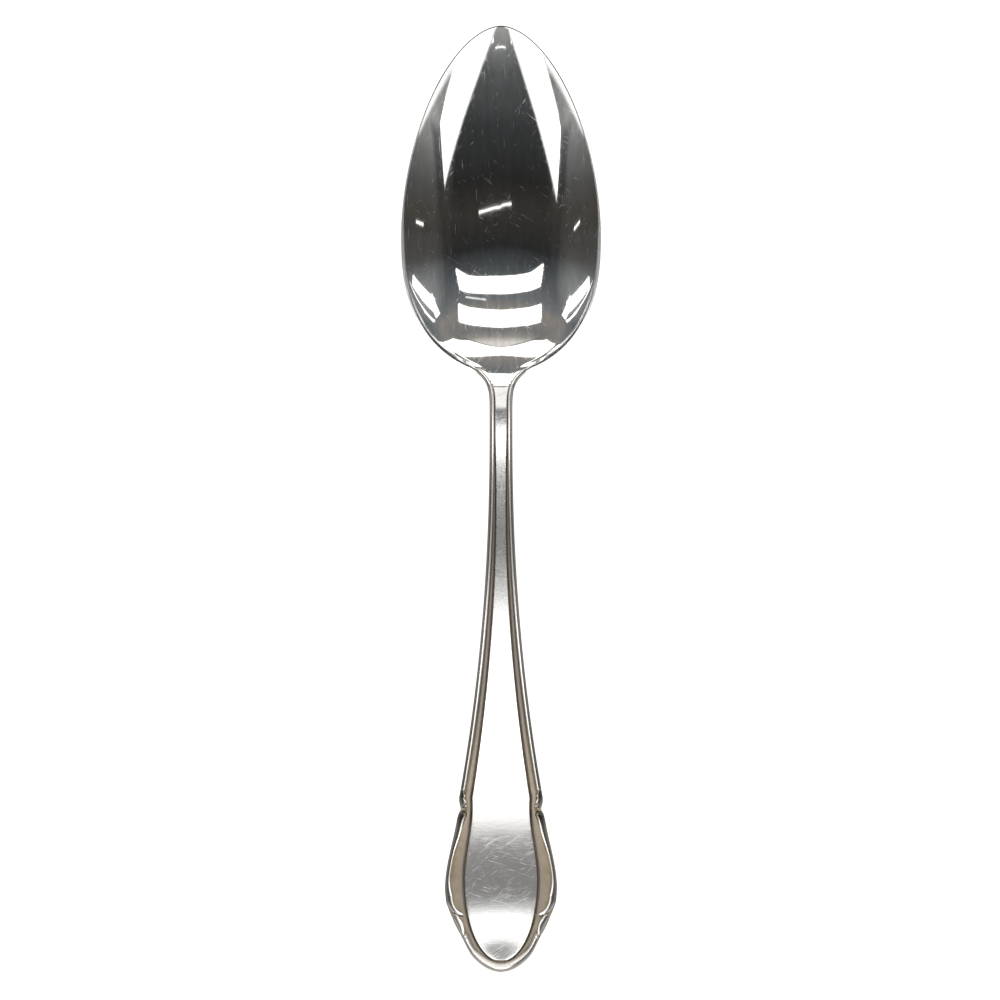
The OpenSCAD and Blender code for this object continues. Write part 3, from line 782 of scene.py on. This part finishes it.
def length_share(tree, y_from, y_to):
    place = node(tree, "ShaderNodeTexCoord")
    axes = node(tree, "ShaderNodeSeparateXYZ")
    part = node(tree, "ShaderNodeMapRange", {"From Min": y_from * mm, "From Max": y_to * mm})
    wire(tree, (place.outputs["Object"], axes.inputs[0]), (axes.outputs["Y"], part.inputs[0]))
    return part.outputs[0]


def bump(tree, value, shader, strength):
    made = node(tree, "ShaderNodeBump", {"Strength": strength, "Distance": scratch_d})
    wire(tree, (value, made.inputs["Height"]), (made.outputs[0], shader.inputs["Normal"]))


# %% [markdown]
# ## Polished silver of the bowl
# A cloth and a drawer leave fine lines along the bowl and a few across it. Broad soft streaks vary its
# tint. The rim band is rubbed dull along the sides and has a painted dark reflection round the tip.

# %% Polished silver of the bowl
bright, streaked, scratched = (0.96, 0.95, 0.925), (0.8, 0.8, 0.765), (0.86, 0.85, 0.83)
# The dark rim colour is a painted dark reflection.
rubbed_rim, painted_dark_rim = (0.85, 0.85, 0.87), (0.12, 0.12, 0.12)
polished_silver = bpy.data.materials.new("polished_silver")
tree, shader = fresh(polished_silver)
long_lines = scratches(tree, 0.05, 6, 0.09, 0.69, 0.78)
cross_lines = scratches(tree, 0.9, 3.5, 0.1, 0.69, 0.77)
other_lines = scratches(tree, -0.6, 3, 0.1, 0.69, 0.77)
lines = most(tree, long_lines, cross_lines, other_lines)
worn_rim = combine(tree, "MULTIPLY", read(tree, "rim"), 0.6)
streaks = scratches(tree, 0.03, 4, 0.9, 0.3, 0.75)
silver = tint(tree, lines, tint(tree, streaks, bright, streaked), scratched)
silver = tint(tree, worn_rim, silver, rubbed_rim)
# Painted dark reflection on the rim band round the tip and a little at the heel.
silver = tint(tree, read(tree, "tip"), silver, painted_dark_rim)
wear = most(tree, combine(tree, "MULTIPLY", lines, 0.55), worn_rim)
wire(tree, (range_of(tree, wear, 0.04, 0.6), shader.inputs["Roughness"]),
     (silver, shader.inputs["Base Color"]))
bump(tree, lines, shader, 0.03)
bowl.data.materials.append(polished_silver)
print("polished silver", len(tree.nodes), "nodes")

# %% [markdown]
# ## Worn silver of the handle
# Hands dull the handle: the panel has lines, short hairs and blotches, the slim stem is duller than the
# wide end, and the neck is bright again. The tarnish in the channel is warm and blotched round the
# lobes. Along the slim stem the channel is darker, with painted shade on top of its tarnish, and the
# groove at the foot of the panel's wall gets painted shade over its tarnish.

# %% Worn silver of the handle
# The channel colour of the slim stem and the colour of the groove are tarnish with painted shade on
# top.
stain_dark, stain_light, stem_tarnish_and_shade = (0.46, 0.37, 0.25), (0.585, 0.49, 0.355), (0.27, 0.24, 0.21)
clean_silver, groove_tarnish_and_shade = (0.9, 0.885, 0.86), (0.5, 0.44, 0.38)
worn_silver = bpy.data.materials.new("worn_silver")
tree, shader = fresh(worn_silver)
lines = most(tree, scratches(tree, 1.3, 4, 0.12, 0.63, 0.75),
             scratches(tree, -0.9, 3.5, 0.13, 0.63, 0.73), scratches(tree, 2.1, 3, 0.15, 0.63, 0.73))
hairs = most(tree, scratches(tree, 1.5, 3, 0.1, 0.45, 0.7), scratches(tree, 0.5, 3, 0.1, 0.5, 0.7))
blotches = scratches(tree, 0.4, 2.2, 1.4, 0.35, 0.7)
tarnish, satin, painted_groove_shade = read(tree, "channel"), read(tree, "panel"), read(tree, "painted_groove_shade")
slim, neck = length_share(tree, -54, -40), length_share(tree, 6, 11)
worn = 0.06
for kind, weight in ((slim, 0.3), (neck, -0.3), (hairs, 0.08), (blotches, 0.07)):
    worn = combine(tree, "MULTIPLY_ADD", kind, weight, worn)
worn = combine(tree, "MULTIPLY", worn, satin)
rough = most(tree, worn, tarnish, combine(tree, "MULTIPLY", lines, 0.4))
# The slim stem's channel takes the darker colour: tarnish with painted shade.
channel_tarnish_and_shade = tint(tree, slim, tint(tree, blotches, stain_dark, stain_light), stem_tarnish_and_shade)
# The groove at the foot of the wall takes painted shade over the tarnish.
silver = tint(tree, painted_groove_shade, tint(tree, tarnish, clean_silver, channel_tarnish_and_shade), groove_tarnish_and_shade)
wire(tree, (range_of(tree, rough, 0.12, 0.5), shader.inputs["Roughness"]),
     (silver, shader.inputs["Base Color"]))
bump(tree, most(tree, lines, combine(tree, "MULTIPLY", hairs, 0.4)), shader, 0.2)
handle.data.materials.append(worn_silver)
print("worn silver", len(tree.nodes), "nodes")

# %% [markdown]
# ## Silver of the threads
# The tops of the threads get a painted highlight and a little more roughness, and the flanks below them
# a painted dark reflection. The foot of the stem threads, the scrolls and the knobs above the lobes get
# a darker painted reflection that covers both.

# %% Silver of the threads
# The flank colour is a painted dark reflection, the top colour a painted highlight, and the third
# colour a painted dark reflection for the scrolls and knobs.
painted_flank_reflection, painted_top_highlight, painted_dark_reflection = (0.4, 0.37, 0.33), (0.93, 0.9, 0.85), (0.22, 0.21, 0.18)
tree, shader = fresh(thread_silver)
tops_and_painted_highlight = read(tree, "crest_and_painted_highlight")
silver = tint(tree, read(tree, "painted_dark"), tint(tree, tops_and_painted_highlight, painted_flank_reflection, painted_top_highlight), painted_dark_reflection)
wire(tree, (silver, shader.inputs["Base Color"]),
     (range_of(tree, tops_and_painted_highlight, 0.16, 0.26), shader.inputs["Roughness"]))
print("thread silver", len(tree.nodes), "nodes")

# %% [markdown]
# ## Pieces take their places
# Bowl, handle and threads replace the plain solids of their nodes. Scrolls and flutes are trim and
# replace none. All of them ride on the one body that the spoon has.

# %% Replace the plain solids
for piece, name, finish in [(bowl, "bowl", "polished_silver"), (handle, "handle", "worn_silver")]:
    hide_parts(name)
    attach(piece, "root")
for name, piece in threads.items():
    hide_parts(name)
    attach(piece, "root")
for piece in (*scrolls.values(), *flutes):
    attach(piece, "root")
print("pieces in place", 2 + len(threads) + len(scrolls) + len(flutes))

# %% [markdown]
# ## Floor
# The spoon lies on plain white. A pale sheet with a faint glow of its own stays white beside the
# silver, and it is kept out of the mirror, since the room alone should show there.

# %% Floor
bpy.ops.mesh.primitive_plane_add(size=6.0)
floor = bpy.context.object
floor.name = "pale_floor"
paper = bpy.data.materials.new("pale_paper")
paper.use_nodes = True
sheet = paper.node_tree.nodes["Principled BSDF"]
for key, value in (("Base Color", (0.9, 0.9, 0.9, 1)), ("Roughness", 0.9),
                   ("Emission Color", (1, 1, 1, 1)), ("Emission Strength", 1.05)):
    sheet.inputs[key].default_value = value
floor.data.materials.append(paper)
floor.visible_glossy = False
print("floor", floor.name, "is", floor.dimensions.x, "m wide")

# %% [markdown]
# ## Room
# A spoon is a mirror, so the room is made of what the silver should show. One ramp runs from foot to
# head and is dark in the middle, where the camera hangs. A second one lightens the far sides, with a
# darker gap next to the soft boxes, and a third puts a warm glow low down.

# %% Helpers for the room
def ramp(tree, value, *stops):
    made = node(tree, "ShaderNodeValToRGB")
    steps = made.color_ramp.elements
    while len(steps) < len(stops):
        steps.new(0.5)
    for step, (place, colour) in zip(steps, stops):
        step.position, step.color = place, (*colour, 1)
    wire(tree, (value, made.inputs[0]))
    return made.outputs[0]


def blend(tree, kind, a, b):
    made = node(tree, "ShaderNodeMix", {"Factor": 1.0}, data_type="RGBA", blend_type=kind)
    wire(tree, (a, made.inputs["A"]), (b, made.inputs["B"]))
    return made.outputs["Result"]


def grey(level, warm=0.0):
    return (level * (1 + warm), level, level * (1 - warm))


# %% Room
room = bpy.data.worlds.new("room")
bpy.context.scene.world = room
room.use_nodes = True
tree = room.node_tree
tree.nodes.clear()
look = node(tree, "ShaderNodeTexCoord")
parts = node(tree, "ShaderNodeSeparateXYZ")
size_of = node(tree, "ShaderNodeMath", operation="ABSOLUTE")
span = node(tree, "ShaderNodeMapRange", {"From Min": -1.0})
wire(tree, (look.outputs["Generated"], parts.inputs[0]), (parts.outputs["X"], size_of.inputs[0]),
     (parts.outputs["Y"], span.inputs[0]))
aside, along = size_of.outputs[0], span.outputs[0]
lengthwise = ramp(tree, along, (0.165, grey(0.36)), (0.2, grey(0.2, -0.03)), (0.24, grey(0.1, -0.05)),
                  (0.335, grey(0.042, -0.06)), (0.43, grey(0.022)), (0.48, grey(0.036, 0.08)),
                  (0.545, grey(0.024, -0.04)), (0.625, grey(0.07, -0.1)), (0.79, grey(0.175, -0.06)),
                  (0.83, grey(0.24, 0.06)), (0.905, grey(0.19)), (0.925, grey(0.3, 0.04)),
                  (0.94, grey(0.75, 0.04)))
sideways = blend(tree, "MULTIPLY", ramp(tree, aside, (0.65, grey(0)), (0.85, grey(1))),
                 ramp(tree, along, (0.345, grey(0.3)), (0.395, grey(0.14)), (0.435, grey(0.06)),
                      (0.475, grey(0.025, 0.1)), (0.515, grey(0.025, 0.1)), (0.55, grey(0.06, 0.04)),
                      (0.585, grey(0.1)), (0.7, grey(0.22))))
beside_box = combine(tree, "MULTIPLY_ADD", parts.outputs["Y"], 0.3, aside)
gap = ramp(tree, beside_box, (0.715, grey(1)), (0.745, grey(0.42)), (0.775, grey(0.42, -0.1)),
           (0.8, grey(1)))
gap = blend(tree, "LIGHTEN", gap, ramp(tree, along, (0.35, grey(1)), (0.375, grey(0))))
sideways = blend(tree, "MULTIPLY", sideways, gap)
low_down = ramp(tree, parts.outputs["Z"], (0.0, grey(0.2, 0.08)), (0.15, grey(0)))
sky = node(tree, "ShaderNodeBackground")
out = node(tree, "ShaderNodeOutputWorld")
wire(tree, (blend(tree, "ADD", blend(tree, "ADD", lengthwise, sideways), low_down), sky.inputs[0]),
     (sky.outputs[0], out.inputs[0]))
print("room", len(tree.nodes), "nodes")

# %% [markdown]
# ## Lights
# A mirror shows every light as a shape, so the lights are cards that hang over the spoon. Bowl,
# handle and border bend the room in different ways. One set of cards for all of them would put
# bright patches in the wrong places, so each card reaches only the pieces that it is meant for.

# %% Pieces that a light reaches
def group(name, *pieces):
    made = bpy.data.collections.new(name)
    for piece in pieces:
        made.objects.link(piece)
    return made


for_bowl = group("for_bowl", bowl)
for_handle = group("for_handle", handle, *threads.values())
for_border, for_stem = {}, {}
for side, flute in zip(("right", "left"), flutes):
    for_stem[side] = group(f"for_{side}_stem", threads[f"stem_thread_{side}"])
    for_border[side] = group(f"for_{side}_border", threads[f"lobe_thread_{side}"],
                             threads[f"leaf_scroll_{side}"], scrolls[side], flute)
for_tops = group("for_tops", threads["leaf_scroll_left"], threads["end_thread"], *flutes)
print("groups of pieces", len(bpy.data.collections))


# %% Cards of light
def feather(lamp, share):
    lamp.use_nodes = True
    tree = lamp.node_tree
    glow = tree.nodes["Emission"]
    place = node(tree, "ShaderNodeNewGeometry")
    axes = node(tree, "ShaderNodeSeparateXYZ")
    from_edge = combine(tree, "PINGPONG", axes.outputs["Y"], 0.5)
    inside = combine(tree, "DIVIDE", from_edge, share / 2)
    wire(tree, (place.outputs["Parametric"], axes.inputs[0]), (inside, glow.inputs["Strength"]))


def card(name, centre, size, glow, turn=0.0, only=for_bowl, height=1.0, soft=0.0):
    lamp = bpy.data.lights.new(name, "AREA")
    lamp.shape = "RECTANGLE"
    lamp.size, lamp.size_y = size
    lamp.energy = glow * 4 * size[0] * size[1]
    if soft:
        feather(lamp, soft)
    obj = bpy.data.objects.new(name, lamp)
    obj.location = (*centre, height)
    obj.rotation_euler = (0, 0, np.radians(turn))
    obj.visible_camera = False
    obj.light_linking.receiver_collection = only
    bpy.context.collection.objects.link(obj)


def corner_card(name, corner, turn, size, glow, side, soft=0.0):
    a = np.radians(turn)
    u = np.array([np.cos(a), np.sin(a)])
    v = np.array([np.sin(a), -np.cos(a)]) * side
    centre = np.array(corner) + u * size[0] / 2 + v * size[1] / 2
    card(name, tuple(centre), size, glow, turn, soft=soft)


def arched_strip(name, middle, size, glow, droop, taper, tilt=0.0, pieces=5, rows=6):
    radius, lean = size[0] / (2 * np.radians(droop)), np.radians(tilt)
    for row in range(rows):
        far = radius + size[1] * ((row + 0.5) / rows - 0.5)
        reach = np.radians(droop) * (1 - taper * (row + 0.5) / rows)
        for k in range(pieces):
            turn = reach * (2 * (k + 0.5) / pieces - 1)
            x, y = far * np.sin(turn), far * np.cos(turn) - radius
            spot = (middle[0] + x * np.cos(lean) - y * np.sin(lean),
                    middle[1] + x * np.sin(lean) + y * np.cos(lean))
            card(f"{name}_{row}_{k}", spot, (2.1 * reach * far / pieces, size[1] / rows), glow,
                 tilt - np.degrees(turn))


# %% [markdown]
# ## Lights of the bowl
# The lip and the tip show two arched strips beyond the head, with a dim lamp in the gap between
# them. The hollow shows a pair of thin bars in its middle, and soft boxes, walls and windows at both
# sides, which differ a little from left to right. Sizes and places are in metres.

# %% Lights of the bowl
strip_glow, bar_glow, box_glow, tick_glow, gap_glow = 1.7, 1.8, 1.6, 1.4, 0.6
arched_strip("strip_near", (0.02, 0.567), (1.52, 0.236), strip_glow, 22, 0.24, 2.5)
arched_strip("strip_far", (0.03, 1.15), (1.4, 0.4), strip_glow, 18, 0.18)
card("gap_lamp", (0.31, 0.757), (0.36, 0.03), gap_glow, -7.3)
card("bar_right", (0.1625, 0.017), (0.294, 0.0065), bar_glow, -1.2)
card("bar_left", (-0.065, 0.0105), (0.164, 0.0065), bar_glow, 6.3)
card("tip_slit", (0.014, -0.685), (0.36, 0.008), box_glow)
card("tick_right", (2.64, 0.07), (0.79, 0.03), tick_glow, -1.0)
card("tick_left", (-2.12, 0.08), (0.45, 0.026), tick_glow, 7.6)
for name, side, spot, inner, outer, stub, rise in (
        ("right", 1, (1.14, -0.133), 55.0, 49.5, 0.245, 0.0),
        ("left", -1, (-1.08, -0.064), 48.5, 47.0, 0.3, 0.04)):
    corner_card(f"box_{name}_inner", spot, -90 - inner * side, (1.19, 0.69), box_glow, -side,
                soft=0.2)
    corner_card(f"box_{name}_outer", spot, -90 + outer * side, (0.63, 0.5), box_glow, side)
    card(f"stub_{name}", ((stub + 0.4) * side, -0.865), (0.8, 0.28), box_glow)
    card(f"wall_{name}", (1.85 * side, -1.81), (3.2, 2.08), box_glow, soft=0.15)
    card(f"window_{name}", (2.5 * side, 0.955 + rise), (2.0, 0.34), box_glow, -7 * side)
    corner_card(f"window_foot_{name}", (1.62 * side, 0.83 + rise), 90 + 40.7 * side, (0.47, 0.28),
                box_glow, side)
print("lights of the bowl", len(bpy.data.lights))

# %% [markdown]
# ## Lights of the handle and the border
# The panel is nearly flat, so along its arch it shows strips and gaps one after the other: white
# stem, grey lobes, white below them, and a small grey patch at the point. The threads are round and
# show what hangs at the other side of the spoon. Their tops show a box above.

# %% Lights of the handle and the border
panel_glow, far_glow, ceiling_glow, tops_glow, border_glow = 1.2, 0.72, 0.14, 1.0, 0.7
panel_h_m, low_h_m, border_h_m = 1.2, 0.16, 0.9
border_x, border_size_x = 1.25, 2.3
stem_boxes = [(-1.6, -0.5, 0.7), (-0.5, 0.19, 0.25), (0.19, 0.71, 0.7), (1.06, 2.0, 0.7)]
for name, y, size, glow, height, soft in (
        ("handle_strip_near", 0.378, (1.0, 0.345), panel_glow, panel_h_m, 0.0),
        ("handle_strip_far", 1.52, (1.0, 0.94), far_glow, panel_h_m, 0.3),
        ("handle_low", 0.052, (0.06, 0.024), panel_glow, low_h_m, 0.0),
        ("handle_bounce", -0.1715, (0.12, 0.143), panel_glow, low_h_m, 0.0),
        ("handle_sky", -0.75, (1.0, 0.34), panel_glow, panel_h_m, 0.0),
        ("handle_ceiling", -0.05, (0.7, 0.5), ceiling_glow, panel_h_m, 0.0)):
    card(name, (0.0, y), size, glow, only=for_handle, height=height, soft=soft)
card("tops_box", (-0.35, -0.15), (1.6, 1.2), tops_glow, only=for_tops, height=panel_h_m)
for name, side in (("right", 1), ("left", -1)):
    card(f"handle_fill_{name}", (0.35 * side, 0.685), (0.3, 0.27), panel_glow, only=for_handle,
         height=panel_h_m)
    card(f"border_box_{name}", (-border_x * side, -0.1), (border_size_x, 2.4), border_glow,
         only=for_border[name], height=border_h_m)
    for part, (near, far, glow) in enumerate(stem_boxes):
        card(f"stem_box_{name}_{part}", (-border_x * side, (near + far) / 2),
             (border_size_x, far - near), glow, only=for_stem[name], height=border_h_m)
print("all lights", len(bpy.data.lights))

# %% [markdown]
# ## Camera
# The photograph looks straight down. A long lens from 1.2 m keeps the outline as flat as it is there.
# The lens follows from the width that should fill the frame at the height of the rim.

# %% Camera
sensor_mm, eye_h_m, rim_distance_m, frame_w_m = 36, 1.2, 1.192, 0.19007
eye = bpy.data.cameras.new("eye")
camera = bpy.data.objects.new("eye", eye)
camera.location = (-0.00019, -0.0001, eye_h_m)
eye.sensor_width = sensor_mm
eye.lens = sensor_mm * rim_distance_m / frame_w_m
bpy.context.collection.objects.link(camera)
bpy.context.scene.camera = camera
bpy.context.scene.view_settings.view_transform = "Standard"
print("lens", eye.lens, "mm")
